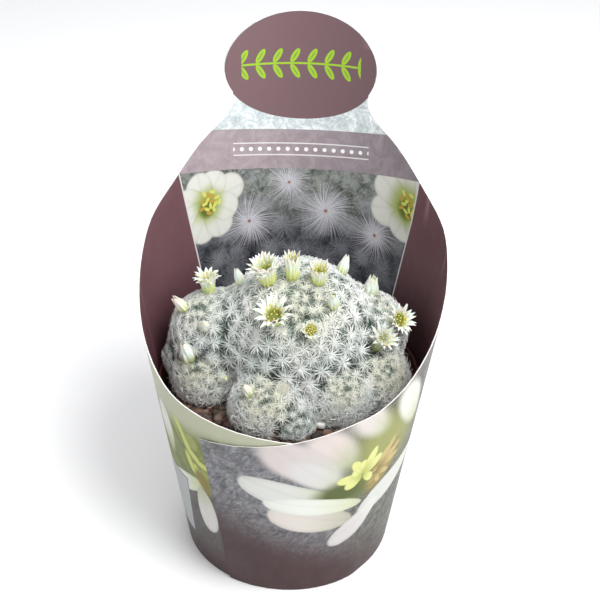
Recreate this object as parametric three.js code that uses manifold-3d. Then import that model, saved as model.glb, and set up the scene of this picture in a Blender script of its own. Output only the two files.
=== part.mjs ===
import * as THREE from "three";
import { mergeVertices } from "three/addons/utils/BufferGeometryUtils.js";
import Module from "manifold-3d";

const wasm = await Module();
wasm.setup();

// A feather cactus clump in a plastic pot, inside a cone-shaped card sleeve with a tall header.
// Millimetres, +Z up, origin under the middle of the pot. The front is -Y.
// Bearings are degrees from the front, positive toward +X; elevations are degrees above level.

// ---- driving dimensions ----

const fitGap = 0.3; // clearance kept between pieces that touch

const potRimRadius = 60;
const potHeight = 86;
const potBaseRadius = 43;
const potWall = 1.2;
const potFloor = 1.6;
const potRimBand = 10; // height of the thickened band under the mouth
const potRimRelief = 0.57; // how much more the band leans in than the card beside it does
const potRimStep = 1.2; // how far the band stands out from the wall
const drainHoleCount = 8;
const drainHoleRadius = 3.5;
const drainHoleRing = 28;

const cardThickness = 0.5;
const sleeveClearance = 0.6; // card to pot rim
const sleeveFootGap = 7; // card to pot base, which sets how far the sleeve tapers
const lipAbovePot = 7; // the rim's lowest point, over the pot's mouth
const shoulderHeight = 190;
const flapCornerDrop = 7; // the flap's free corner, below the lip
const flapEndAngle = 207.5; // the outer end of the card, degrees from the back
const tuckedEndAngle = 219; // the inner end of the card, on the other side
const overlapRamp = 10; // degrees over which the flap rises clear of the tucked end
const neckHalfAngle = 25;
const headerHalfAngle = 27.5;
const headerHeight = 50;
const headerOverlap = 9.3; // the header oval starts this far below the shoulders

const soilDepthBelowRim = 11.5;
const gravelThickness = 5.5;
const gravelCoreShare = 0.6; // the part of the mouth that stems cover, where no gravel lies

const clumpClearance = 0.9; // the widest stem to the pot's mouth
const clumpSpread = 57.9; // the widest reach of the stems listed below, at full size
const stemFootDepth = 12; // the feet of the stems meet below the soil's surface
const stemFootReach = 0.3; // share of a stem's reach at which its foot starts
const stemFootRadius = 7;
const socketDepth = 2.5;

const perliteRadius = 1.9;
const perliteReach = 37.5;
const perliteBearing = 28;

const crownRadius = 11;
const tapRootLength = 44;
const sideRootRadius = 1.6;
const sideRootCount = 7;
const sideRootReach = 30;

// each stem: where its round top is centred, and its radius, in a clump of full size
const stems = [
  { name: "stem_main", reach: 7, bearing: 153, height: 27, radius: 34 },
  { name: "stem_left_upper", reach: 37.2, bearing: -99, height: 25, radius: 18.3 },
  { name: "stem_right_back", reach: 39.3, bearing: 108, height: 25, radius: 17 },
  { name: "stem_back_left", reach: 38.6, bearing: -152, height: 18, radius: 17 },
  { name: "stem_back_right", reach: 39.8, bearing: 158, height: 17, radius: 16 },
  { name: "stem_front_left", reach: 29.3, bearing: -17, height: 5, radius: 16 },
  { name: "stem_left_low", reach: 38.3, bearing: -76, height: 7, radius: 15.2 },
  { name: "stem_front_right", reach: 32.4, bearing: 50, height: 7.5, radius: 13.4 },
  { name: "stem_right", reach: 42, bearing: 81, height: 8, radius: 14.5 },
  { name: "stem_small_front", reach: 36.1, bearing: 11, height: 1, radius: 7.5 },
  { name: "stem_far_left", reach: 50.4, bearing: -90, height: 12, radius: 7.5 },
];

// each open flower: the stem it grows from, where it comes out, which way it faces, and its size
const flowers = [
  { stem: "stem_left_upper", out: [-177, 76], faces: [-60, 87], radius: 5, height: 11 },
  { stem: "stem_main", out: [-43, 59], faces: [-50, 76], radius: 6.3, height: 12 },
  { stem: "stem_main", out: [-3, 69], faces: [20, 86], radius: 4.6, height: 12 },
  { stem: "stem_main", out: [48, 63], faces: [30, 76], radius: 5, height: 9.5 },
  { stem: "stem_main", out: [-15, 31], faces: [-2, 62], radius: 6.3, height: 9 },
  { stem: "stem_right_back", out: [8, -8], faces: [54, 56], radius: 5.8, height: 11 },
  { stem: "stem_right_back", out: [54, 31], faces: [46, 40], radius: 5.4, height: 7 },
  { stem: "stem_main", out: [18, 29], faces: [14, 44], radius: 4.2, height: 5.5 },
];

// each bud or closed flower: its stem, where it comes out, which way it points, and its size
const buds = [
  { stem: "stem_right_back", out: [-150, 76], faces: [60, 80], radius: 3.4, height: 9 },
  { stem: "stem_main", out: [50, 41], faces: [5, 66], radius: 2.6, height: 8 },
  { stem: "stem_left_low", out: [-58, 67], faces: [-75, 52], radius: 3, height: 9.5 },
  { stem: "stem_main", out: [116, 46], faces: [110, 74], radius: 2.6, height: 8 },
  { stem: "stem_left_upper", out: [2, 31], faces: [2, 45], radius: 2.6, height: 6 },
  { stem: "stem_left_upper", out: [-61, 48], faces: [-70, 55], radius: 2.5, height: 7 },
  { stem: "stem_left_low", out: [47, 22], faces: [40, 40], radius: 2.4, height: 5 },
  { stem: "stem_front_left", out: [-42, 58], faces: [-35, 60], radius: 2.6, height: 6 },
  { stem: "stem_front_left", out: [87, 49], faces: [40, 60], radius: 2.6, height: 6 },
  { stem: "stem_main", out: [-96, 37], faces: [-70, 76], radius: 2.4, height: 7 },
];

// the sleeve's rim: degrees from the back centre, and share of the rise from the lip to the shoulders
const rimOutline = [
  [29, 0.935],
  [39, 0.845],
  [54, 0.7],
  [70, 0.588],
  [83, 0.462],
  [95, 0.345],
  [110, 0.227],
  [130, 0.105],
  [150, 0.06],
];

// ---- heights and radii that follow from them ----

const soilTop = potHeight - soilDepthBelowRim;
const gravelTop = soilTop + gravelThickness;
const mouthRadius = potRimRadius - potWall;
const clumpScale = (mouthRadius - clumpClearance) / clumpSpread;
const lipHeight = potHeight + lipAbovePot;
const headerCentre = shoulderHeight - headerOverlap + headerHeight / 2;
const cutterReach = 4 * potRimRadius + shoulderHeight;

const bandFoot = potHeight - potRimBand;
const cardFootRadius = potBaseRadius + sleeveFootGap + cardThickness;
const cardTaper = (potRimRadius + sleeveClearance + cardThickness - cardFootRadius) / potHeight;
const bandFootRadius = potRimRadius - potRimBand * cardTaper - potRimRelief;

// the pot's inner wall, from the floor up to the mouth, as radius and height
const potInside = [
  [potBaseRadius - potWall, potFloor],
  [bandFootRadius - potRimStep - potWall, bandFoot],
  [bandFootRadius - potWall, bandFoot + potWall],
  [mouthRadius, potHeight],
];

// ---- shape helpers ----

function atBearing(radius, bearing, z) {
  const turn = THREE.MathUtils.degToRad(bearing);
  return new THREE.Vector3(radius * Math.sin(turn), -radius * Math.cos(turn), z);
}

function heading(bearing, elevation) {
  const rise = THREE.MathUtils.degToRad(elevation);
  return atBearing(Math.cos(rise), bearing, Math.sin(rise));
}

// merged vertices with no sliver triangles, so that the shape is a closed mesh
function welded(geometry) {
  const bare = geometry.clone();
  bare.deleteAttribute("normal");
  bare.deleteAttribute("uv");
  const merged = mergeVertices(bare, 1e-4);
  const corners = merged.index.array;
  const kept = [];
  for (let i = 0; i < corners.length; i += 3) {
    const [a, b, c] = [corners[i], corners[i + 1], corners[i + 2]];
    if (a !== b && b !== c && c !== a) {
      kept.push(a, b, c);
    }
  }
  merged.setIndex(kept);
  return merged;
}

function toSolid(geometry) {
  const closed = welded(geometry);
  const mesh = new wasm.Mesh({
    numProp: 3,
    vertProperties: new Float32Array(closed.attributes.position.array),
    triVerts: new Uint32Array(closed.index.array),
  });
  return new wasm.Manifold(mesh);
}

function toGeometry(solid) {
  const mesh = solid.getMesh();
  const geometry = new THREE.BufferGeometry();
  geometry.setAttribute("position", new THREE.BufferAttribute(mesh.vertProperties, 3));
  geometry.setIndex(new THREE.BufferAttribute(mesh.triVerts, 1));
  geometry.computeVertexNormals();
  return geometry;
}

// a turned shape about +Z; the profile runs from the axis at the bottom to the axis at the top
function turned(profile, segments) {
  const points = profile.map(([radius, z]) => new THREE.Vector2(radius, z));
  return welded(new THREE.LatheGeometry(points, segments).rotateX(Math.PI / 2));
}

// the same, with every other rib of each ring drawn in by its own share, which makes petal tips
function turnedStar(profile, petals) {
  const shape = turned(profile.map(([radius, z]) => [radius, z]), 2 * petals);
  const place = shape.attributes.position;
  for (let i = 0; i < place.count; i += 1) {
    const turn = Math.atan2(place.getY(i), place.getX(i));
    const rib = Math.round((turn / Math.PI) * petals);
    const level = profile.find(([, z]) => Math.abs(z - place.getZ(i)) < 1e-3);
    const share = rib % 2 === 0 ? 1 : 1 - level[2];
    place.setX(i, place.getX(i) * share);
    place.setY(i, place.getY(i) * share);
  }
  return shape;
}

// the inner wall's outline between two heights, drawn in by a gap
function insidePotProfile(low, high, gap) {
  const radiusAt = (z) => {
    const upper = potInside.findIndex(([, level]) => level >= z);
    const [r1, z1] = potInside[Math.max(upper, 1)];
    const [r0, z0] = potInside[Math.max(upper, 1) - 1];
    return r0 + ((r1 - r0) * (z - z0)) / (z1 - z0);
  };
  const between = potInside.filter(([, z]) => z > low && z < high);
  const wall = [[radiusAt(low), low], ...between, [radiusAt(high), high]];
  return wall.map(([radius, z]) => [radius - gap, z]);
}

function upright(direction) {
  return new THREE.Quaternion().setFromUnitVectors(new THREE.Vector3(0, 0, 1), direction);
}

function finish(colour, roughness) {
  return new THREE.MeshStandardMaterial({ color: colour, roughness, metalness: 0 });
}

const model = new THREE.Group();

function addPiece(name, geometry, material) {
  const piece = new THREE.Mesh(geometry, material);
  piece.name = name;
  model.add(piece);
  return piece;
}

// ---- pot, soil and roots ----

function potGeometry() {
  const outside = [
    [0, 0],
    [potBaseRadius, 0],
    [bandFootRadius - potRimStep, bandFoot],
    [bandFootRadius, bandFoot],
    [potRimRadius, potHeight],
  ];
  const inside = [...potInside].reverse();
  const shell = toSolid(turned([...outside, ...inside, [0, potFloor]], 48));
  const hole = new THREE.CylinderGeometry(drainHoleRadius, drainHoleRadius, 4 * potFloor, 8);
  hole.rotateX(Math.PI / 2);
  let drilled = shell;
  for (let i = 0; i < drainHoleCount; i += 1) {
    const place = atBearing(drainHoleRing, (360 * i) / drainHoleCount, 0);
    drilled = drilled.subtract(toSolid(hole.clone().translate(place.x, place.y, place.z)));
  }
  return toGeometry(drilled);
}

// the crown and its tap root, with side roots; grow makes them fatter by a clearance
function rootSolid(grow) {
  const tip = soilTop - tapRootLength;
  const tap = [
    [0, tip - grow],
    [2 + grow, tip - grow],
    [5 + grow, soilTop - 0.5 * tapRootLength],
    [0.8 * crownRadius + grow, soilTop - 0.2 * tapRootLength],
    [crownRadius + grow, soilTop + grow],
    [0, soilTop + grow],
  ];
  let solid = toSolid(turned(tap, 16));
  const section = new THREE.Shape();
  section.absarc(0, 0, sideRootRadius + grow, 0, 2 * Math.PI, false);
  for (let i = 0; i < sideRootCount; i += 1) {
    const bearing = (360 * (i + 0.5)) / sideRootCount;
    const drop = i % 2 === 0 ? 10 : 16;
    const path = new THREE.CatmullRomCurve3([
      atBearing(1, bearing, soilTop - 0.5 * drop),
      atBearing(0.5 * sideRootReach, bearing + 6, soilTop - drop),
      atBearing(sideRootReach + grow, bearing - 6, soilTop - 2.2 * drop - grow),
    ]);
    const shape = new THREE.ExtrudeGeometry(section, { extrudePath: path, steps: 5, curveSegments: 3 });
    solid = solid.add(toSolid(shape));
  }
  return solid;
}

function soilGeometry() {
  const wall = insidePotProfile(potFloor + fitGap, soilTop, fitGap);
  const fill = toSolid(turned([[0, potFloor + fitGap], ...wall, [0, soilTop]], 40));
  return toGeometry(fill.subtract(rootSolid(fitGap)));
}

// ---- stems ----

// a stem's centre, radius and foot, at the size of this pot's clump
function grownStem(stem) {
  const reach = stem.reach * clumpScale;
  const centre = atBearing(reach, stem.bearing, gravelTop + stem.height * clumpScale);
  const foot = atBearing(reach * stemFootReach, stem.bearing, soilTop - stemFootDepth);
  return { ...stem, centre, foot, radius: stem.radius * clumpScale };
}

const grownStems = stems.map(grownStem);

// a round top drawn down to a narrow foot
function stemSolid(stem, grow) {
  const axis = new THREE.Vector3().subVectors(stem.centre, stem.foot);
  const rings = Math.max(5, Math.round(stem.radius / 3.5));
  const profile = [[0, -grow], [stemFootRadius + grow, -grow]];
  const shoulder = THREE.MathUtils.degToRad(120);
  for (let i = 0; i <= rings; i += 1) {
    const fromTop = shoulder * (1 - i / rings);
    const radius = stem.radius + grow;
    const ringRadius = i === rings ? 0 : radius * Math.sin(fromTop);
    profile.push([ringRadius, axis.length() + radius * Math.cos(fromTop)]);
  }
  const shape = turned(profile, stem.radius > 20 ? 24 : 14);
  shape.applyQuaternion(upright(axis.normalize()));
  return toSolid(shape.translate(stem.foot.x, stem.foot.y, stem.foot.z));
}

// everything above the soil
function aboveSoil() {
  const block = new THREE.BoxGeometry(cutterReach, cutterReach, cutterReach);
  return toSolid(block.translate(0, 0, soilTop + fitGap + cutterReach / 2));
}

// ---- flowers and buds ----

function grownFlower(flower) {
  return { ...flower, radius: flower.radius * clumpScale, height: flower.height * clumpScale };
}

const openFlowers = flowers.map(grownFlower);
const closedBuds = buds.map(grownFlower);

// where a flower starts, a little way inside its stem
function rootedAt(flower) {
  const stem = grownStems.find(({ name }) => name === flower.stem);
  const outward = heading(...flower.out);
  const surface = Math.cos(Math.PI / 18) * stem.radius;
  return stem.centre.clone().addScaledVector(outward, surface - socketDepth);
}

function tubeRadius(flower) {
  return 0.42 * flower.radius;
}

// the solid that leaves room for a flower or bud, from its rooted end to its tip
function roomFor(flower) {
  const narrow = tubeRadius(flower) + 2 * fitGap;
  const wide = flower.radius + fitGap;
  const tip = socketDepth + flower.height + fitGap;
  const profile = [
    [0, -fitGap],
    [narrow, -fitGap],
    [narrow, socketDepth],
    [wide, socketDepth + 0.35 * flower.height],
    [wide, tip],
    [0, tip],
  ];
  const room = turned(profile, 8);
  room.applyQuaternion(upright(heading(...flower.faces)));
  const place = rootedAt(flower);
  return toSolid(room.translate(place.x, place.y, place.z));
}

// a tube that opens into a cup of pointed petals
function petalGeometry(flower) {
  const tube = tubeRadius(flower);
  const length = socketDepth + 0.35 * flower.height;
  const top = socketDepth + flower.height;
  const bend = 0.55 * length + 0.45 * top;
  const profile = [
    [0, 0, 0],
    [tube, 0, 0],
    [tube, length, 0],
    [0.68 * flower.radius, bend, 0.08],
    [flower.radius, top, 0.3],
    [0.56 * flower.radius, bend + 0.5, 0.06],
    [0.7 * tube, length + 0.6, 0],
    [0, length + 0.6, 0],
  ];
  return turnedStar(profile, 9);
}

// the bunch of stamens that fills the middle of the cup
function stamenGeometry(flower) {
  const foot = socketDepth + 0.35 * flower.height + 0.6 + fitGap;
  const top = socketDepth + 0.82 * flower.height;
  const narrow = 0.45 * tubeRadius(flower);
  const wide = 0.3 * flower.radius;
  return turned([[0, foot], [narrow, foot], [wide, top - 0.6], [0.6 * wide, top], [0, top]], 6);
}

function budGeometry(bud) {
  const tube = tubeRadius(bud);
  const level = (share) => socketDepth + share * bud.height;
  const profile = [
    [0, 0],
    [tube, 0],
    [tube, level(0)],
    [bud.radius, level(0.42)],
    [0.72 * bud.radius, level(0.74)],
    [0, level(1)],
  ];
  return turned(profile, 8);
}

function addOnStem(name, flower, geometry, material) {
  const piece = addPiece(name, geometry, material);
  piece.position.copy(rootedAt(flower));
  piece.quaternion.copy(upright(heading(...flower.faces)));
}

// ---- sleeve ----

function sleeveRadius(angle, z) {
  const overTuck = 360 - tuckedEndAngle;
  const lift = THREE.MathUtils.smoothstep(angle, overTuck - overlapRamp, overTuck);
  return cardFootRadius + cardTaper * z + lift * (cardThickness + fitGap);
}

// a point of the card: angle from the back centre, positive toward +X; depth in from the outer face
function cardPoint([angle, z], depth) {
  const radius = sleeveRadius(angle, z) - depth;
  const turn = THREE.MathUtils.degToRad(angle);
  return [radius * Math.sin(turn), radius * Math.cos(turn), z];
}

// the card's columns on one side, from the neck round to the end of the sheet, as angle and rim height
function rimColumns(endAngle, side) {
  const rise = shoulderHeight - lipHeight;
  const drop = flapCornerDrop;
  const points = [
    [neckHalfAngle, shoulderHeight],
    ...rimOutline.map(([angle, share]) => [angle, lipHeight + share * rise]),
    [180 - side * 6, lipHeight],
    [endAngle, lipHeight - drop],
  ];
  const curve = new THREE.SplineCurve(points.map(([angle, z]) => new THREE.Vector2(angle, z)));
  return curve.getPoints(50).map(({ x, y }) => [side * x, y]);
}

function headerHalfHeightAt(angle) {
  const share = Math.min(1, Math.abs(angle) / headerHalfAngle);
  return (headerHeight / 2) * Math.sqrt(1 - share * share);
}

// quads of the flat sheet in angle and height, each wound to face outward on the cone
function stripCells(columns, lowEdge, highEdge) {
  const cells = [];
  for (let i = 0; i + 1 < columns.length; i += 1) {
    const [a, b] = [columns[i], columns[i + 1]];
    cells.push([[a, lowEdge(a, i)], [a, highEdge(a, i)], [b, highEdge(b, i + 1)], [b, lowEdge(b, i + 1)]]);
  }
  return cells;
}

function sleeveCells() {
  const right = rimColumns(flapEndAngle, 1);
  const left = rimColumns(tuckedEndAngle, -1).reverse();
  const neck = [-6, -5, -4, -3, -2, -1, 0, 1, 2, 3, 4, 5, 6].map((step) => (step / 6) * neckHalfAngle);
  const lobe = [0.35, 0.65, 0.88, 1].map((s) => neckHalfAngle + s * (headerHalfAngle - neckHalfAngle));
  const header = [...lobe.map((angle) => -angle).reverse(), ...neck, ...lobe];
  const notchTop = headerCentre - headerHalfHeightAt(neckHalfAngle);
  const rim = [...left, ...neck.slice(1, -1).map((angle) => [angle, shoulderHeight]), ...right];
  const lowHeader = (angle) => headerCentre - headerHalfHeightAt(Math.max(Math.abs(angle), neckHalfAngle));
  const highHeader = (angle) => headerCentre + headerHalfHeightAt(angle);
  return [
    ...stripCells(rim.map(([angle]) => angle), () => 0, (angle, i) => rim[i][1]),
    ...stripCells(neck, () => shoulderHeight, () => notchTop),
    ...stripCells(header, lowHeader, highHeader),
  ];
}

// the sheet given its thickness: an outer face, an inner face, and a wall along every free edge
function sleeveGeometry() {
  const places = [];
  const indexOf = new Map();
  const corner = (point) => {
    const key = point.map((value) => value.toFixed(4)).join();
    if (!indexOf.has(key)) {
      indexOf.set(key, places.length);
      places.push(point);
    }
    return indexOf.get(key);
  };
  const triangles = [];
  for (const cell of sleeveCells()) {
    const [a, b, c, d] = cell.map(corner);
    triangles.push([a, b, c], [a, c, d]);
  }
  const faces = triangles.filter(([a, b, c]) => a !== b && b !== c && c !== a);
  const directed = new Set(faces.flatMap(([a, b, c]) => [`${a}>${b}`, `${b}>${c}`, `${c}>${a}`]));
  const count = places.length;
  const index = [];
  for (const [a, b, c] of faces) {
    index.push(a, b, c, a + count, c + count, b + count);
  }
  for (const edge of directed) {
    const [from, to] = edge.split(">").map(Number);
    if (!directed.has(`${to}>${from}`)) {
      index.push(to, from, from + count, to, from + count, to + count);
    }
  }
  const outer = places.flatMap((point) => cardPoint(point, 0));
  const inner = places.flatMap((point) => cardPoint(point, cardThickness));
  const geometry = new THREE.BufferGeometry();
  geometry.setAttribute("position", new THREE.Float32BufferAttribute([...outer, ...inner], 3));
  geometry.setIndex(index);
  geometry.computeVertexNormals();
  return geometry;
}

// ---- gravel ----

function gravelGeometry(stemRooms) {
  const core = gravelCoreShare * mouthRadius;
  const low = soilTop + fitGap;
  const wall = insidePotProfile(low, gravelTop, fitGap);
  const ring = [[core, low], ...wall, [core, gravelTop], [core, low]];
  const layer = toSolid(turned(ring, 40));
  return toGeometry(stemRooms.reduce((rest, room) => rest.subtract(room), layer));
}

function perliteGeometry() {
  const grain = welded(new THREE.IcosahedronGeometry(perliteRadius, 0));
  return grain.scale(1.1, 0.9, 0.8);
}

// ---- the model ----

addPiece("sleeve", sleeveGeometry(), finish(0x8a8672, 0.55));
addPiece("pot", potGeometry(), finish(0x6b3026, 0.5));
addPiece("soil", soilGeometry(), finish(0x3b2f27, 0.95));
addPiece("roots", toGeometry(rootSolid(0)), finish(0xb59a72, 0.9));

const plantSpace = aboveSoil();
const flowerRooms = [...openFlowers, ...closedBuds].map(roomFor);
const stemRooms = [];
for (const stem of grownStems) {
  let solid = stemSolid(stem, 0).intersect(plantSpace);
  for (const neighbour of [...stemRooms, ...flowerRooms]) {
    solid = solid.subtract(neighbour);
  }
  addPiece(stem.name, toGeometry(solid), finish(0xc9d2c4, 0.9));
  stemRooms.push(stemSolid(stem, fitGap));
}

addPiece("gravel_topping", gravelGeometry(stemRooms), finish(0x8d7a6d, 0.9));
const grain = addPiece("perlite_grain", perliteGeometry(), finish(0xf2efe8, 0.9));
grain.position.copy(atBearing(perliteReach * clumpScale, perliteBearing, gravelTop + perliteRadius));

openFlowers.forEach((flower, i) => {
  addOnStem(`flower_${i + 1}_petals`, flower, petalGeometry(flower), finish(0xf0efd2, 0.6));
  addOnStem(`flower_${i + 1}_stamens`, flower, stamenGeometry(flower), finish(0xd8c94a, 0.7));
});
closedBuds.forEach((bud, i) => {
  addOnStem(`bud_${i + 1}`, bud, budGeometry(bud), finish(0xe6e2b4, 0.6));
});

export default model;
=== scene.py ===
import math
import random

import bpy
from mathutils import Matrix, Vector


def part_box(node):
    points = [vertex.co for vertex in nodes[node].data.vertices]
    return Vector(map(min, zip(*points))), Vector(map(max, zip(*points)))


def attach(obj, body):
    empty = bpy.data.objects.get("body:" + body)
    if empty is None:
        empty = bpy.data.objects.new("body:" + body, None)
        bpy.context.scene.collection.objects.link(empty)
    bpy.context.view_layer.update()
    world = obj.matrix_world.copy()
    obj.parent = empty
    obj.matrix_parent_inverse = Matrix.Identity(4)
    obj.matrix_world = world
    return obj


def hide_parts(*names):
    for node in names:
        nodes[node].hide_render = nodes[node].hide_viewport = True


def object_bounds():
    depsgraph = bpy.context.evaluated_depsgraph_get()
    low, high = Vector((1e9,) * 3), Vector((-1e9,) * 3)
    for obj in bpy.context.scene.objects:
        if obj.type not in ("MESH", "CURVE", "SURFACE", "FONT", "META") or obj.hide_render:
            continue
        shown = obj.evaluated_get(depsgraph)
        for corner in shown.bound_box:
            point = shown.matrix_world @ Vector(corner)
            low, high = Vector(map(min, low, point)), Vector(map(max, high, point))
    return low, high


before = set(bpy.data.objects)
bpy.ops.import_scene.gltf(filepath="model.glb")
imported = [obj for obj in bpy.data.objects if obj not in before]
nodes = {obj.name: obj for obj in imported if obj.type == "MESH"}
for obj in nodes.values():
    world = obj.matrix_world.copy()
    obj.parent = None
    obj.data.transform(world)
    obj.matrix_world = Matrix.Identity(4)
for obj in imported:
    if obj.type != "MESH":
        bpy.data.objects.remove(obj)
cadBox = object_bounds()
mm = 0.001
rng = random.Random(7)


def deselectAll():
    for other in list(bpy.context.selected_objects):
        other.select_set(False)


def pick(piece):
    deselectAll()
    piece.select_set(True)
    bpy.context.view_layer.objects.active = piece


def justAdded(name):
    piece = bpy.context.active_object
    piece.name = name
    piece.data.name = name
    return piece


def editMesh(piece, *steps):
    # each step is an operator call made in edit mode on the whole piece
    pick(piece)
    bpy.ops.object.mode_set(mode="EDIT")
    bpy.ops.mesh.select_all(action="SELECT")
    for step in steps:
        step()
    bpy.ops.object.mode_set(mode="OBJECT")


def editTop(piece, *steps):
    # the same on the faces that look up
    upright = 0.9
    pick(piece)
    bpy.ops.object.mode_set(mode="EDIT")
    bpy.ops.mesh.select_all(action="DESELECT")
    bpy.ops.object.mode_set(mode="OBJECT")
    for face in piece.data.polygons:
        face.select = face.normal.z > upright
    bpy.ops.object.mode_set(mode="EDIT")
    for step in steps:
        step()
    bpy.ops.object.mode_set(mode="OBJECT")


def applyModifiers(piece):
    pick(piece)
    for modifier in list(piece.modifiers):
        bpy.ops.object.modifier_apply(modifier=modifier.name)


def smooth(piece, degrees=40):
    pick(piece)
    bpy.ops.object.shade_smooth_by_angle(angle=math.radians(degrees))


def settle(piece):
    # the place goes into the mesh, so that the object sits at the origin
    pick(piece)
    bpy.ops.object.transform_apply(location=True, rotation=True, scale=True)


def copyOf(master, matrix):
    twin = master.copy()
    twin.data = master.data.copy()
    twin.data.transform(matrix)
    bpy.context.collection.objects.link(twin)
    return twin


def joined(parts, name):
    deselectAll()
    for part in parts:
        part.select_set(True)
    bpy.context.view_layer.objects.active = parts[0]
    bpy.ops.object.join()
    return justAdded(name)


def stain(piece, name, *colour):
    # the whole piece gets one colour in the named attribute
    attributes = piece.data.color_attributes
    attribute = attributes.get(name) or attributes.new(name, "FLOAT_COLOR", "POINT")
    attribute.data.foreach_set("color", [*colour, 1.0] * len(piece.data.vertices))


def discard(piece):
    mesh = piece.data
    bpy.data.objects.remove(piece)
    bpy.data.meshes.remove(mesh)


def mergedCopy(node, name):
    # a CAD node's triangles as one welded mesh, under a new name
    piece = copyOf(nodes[node], Matrix.Identity(4))
    piece.name = name
    piece.parent = None
    for key in list(piece.keys()):
        del piece[key]
    piece.data.materials.clear()
    editMesh(piece, lambda: bpy.ops.mesh.remove_doubles(threshold=0.02 * mm))
    return piece


def hand(piece, node, material):
    # the finished piece stands for its CAD node
    piece.data.materials.clear()
    piece.data.materials.append(material)
    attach(piece, "root")
    if node:
        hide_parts(node)


def facing(direction):
    return direction.to_track_quat("Z", "Y").to_matrix().to_4x4()


def heading(bearing, elevation):
    # bearing in degrees from the front, positive to the right; elevation above level
    turn, rise = math.radians(bearing), math.radians(elevation)
    flat = math.cos(rise)
    return Vector((flat * math.sin(turn), -flat * math.cos(turn), math.sin(rise)))


def newMaterial(name):
    material = bpy.data.materials.new(name)
    material.use_nodes = True
    return material, material.node_tree, material.node_tree.nodes["Principled BSDF"]


def feed(tree, value, socket):
    if isinstance(value, bpy.types.NodeSocket):
        tree.links.new(value, socket)
    elif isinstance(value, (tuple, list)) and len(socket.default_value) == 4:
        socket.default_value = (*value, 1)[:4]
    else:
        socket.default_value = value


def calc(tree, operation, *values, clamp=False):
    node = tree.nodes.new("ShaderNodeMath")
    node.operation = operation
    node.use_clamp = clamp
    for value, socket in zip(values, node.inputs):
        feed(tree, value, socket)
    return node.outputs[0]


def times(tree, first, second):
    return calc(tree, "MULTIPLY", first, second)


def scaled(tree, value, factor, added):
    return calc(tree, "MULTIPLY_ADD", value, factor, added)


def minus(tree, value, taken):
    return calc(tree, "SUBTRACT", value, taken)


def ramp(tree, value, low, high):
    # 0 below low, 1 above high, eased between; low may be over high for a falling edge
    node = tree.nodes.new("ShaderNodeMapRange")
    node.interpolation_type = "SMOOTHSTEP"
    feed(tree, value, node.inputs["Value"])
    feed(tree, low, node.inputs["From Min"])
    feed(tree, high, node.inputs["From Max"])
    return node.outputs["Result"]


def tinted(tree, share, low, high):
    node = tree.nodes.new("ShaderNodeMix")
    node.data_type = "RGBA"
    feed(tree, share, node.inputs["Factor"])
    feed(tree, low, node.inputs["A"])
    feed(tree, high, node.inputs["B"])
    return node.outputs["Result"]


def noiseNode(tree, dimensions, socket, value, scale, detail, rough):
    node = tree.nodes.new("ShaderNodeTexNoise")
    node.noise_dimensions = dimensions
    feed(tree, value, node.inputs[socket])
    node.inputs["Scale"].default_value = scale
    node.inputs["Detail"].default_value = detail
    node.inputs["Roughness"].default_value = rough
    return node


def grain(tree, place, scale, detail=3.0, rough=0.55):
    return noiseNode(tree, "3D", "Vector", place, scale, detail, rough).outputs["Fac"]


def attributeOf(tree, name, output="Fac"):
    node = tree.nodes.new("ShaderNodeAttribute")
    node.attribute_name = name
    return node.outputs[output]


def objectPlace(tree):
    return tree.nodes.new("ShaderNodeTexCoord").outputs["Object"]


def vectorCalc(tree, operation, *values):
    node = tree.nodes.new("ShaderNodeVectorMath")
    node.operation = operation
    for value, socket in zip(values, node.inputs):
        feed(tree, value, socket)
    return node.outputs["Vector"]


def vectorOf(tree, x, y, z=0.0):
    node = tree.nodes.new("ShaderNodeCombineXYZ")
    for value, socket in zip((x, y, z), node.inputs):
        feed(tree, value, socket)
    return node.outputs["Vector"]


def bumpFrom(tree, shader, height, distance, strength=1.0):
    node = tree.nodes.new("ShaderNodeBump")
    node.inputs["Distance"].default_value = distance
    node.inputs["Strength"].default_value = strength
    feed(tree, height, node.inputs["Height"])
    tree.links.new(node.outputs["Normal"], shader.inputs["Normal"])


def coat(tree, shader, colour, roughness):
    feed(tree, colour, shader.inputs["Base Color"])
    feed(tree, roughness, shader.inputs["Roughness"])


def hue(red, green, blue):
    # screen colour, 0 to 255, as the linear colour that a shader takes
    def linear(value):
        share = value / 255
        return share / 12.92 if share <= 0.04045 else ((share + 0.055) / 1.055) ** 2.4
    return (linear(red), linear(green), linear(blue))


# camera, light and floor

studio = {
    "distance": 0.4542,  # from the pot's axis, level
    "height": 0.4006,
    "azimuth": 6.35,
    "downTilt": 31.26,
    "roll": 0.86,
    "lens": 72,
    "shift": 0.021,
    "aim": (0, 0, 0.1),
    "lamps": (
        # name, place, size, power
        ("key", (0.5, -0.35, 1.15), 0.6, 13.2),
        ("fill", (0.6, -0.95, 0.6), 0.8, 3.0),
        ("back", (-0.15, 0.55, 1.1), 0.7, 3.4),
    ),
    "skyColour": (0.97, 0.98, 1, 1),
    "skyStrength": 0.62,
    "floorColour": (0.93, 0.93, 0.93, 1),
    "floorLevel": -0.0005,
}


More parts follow.
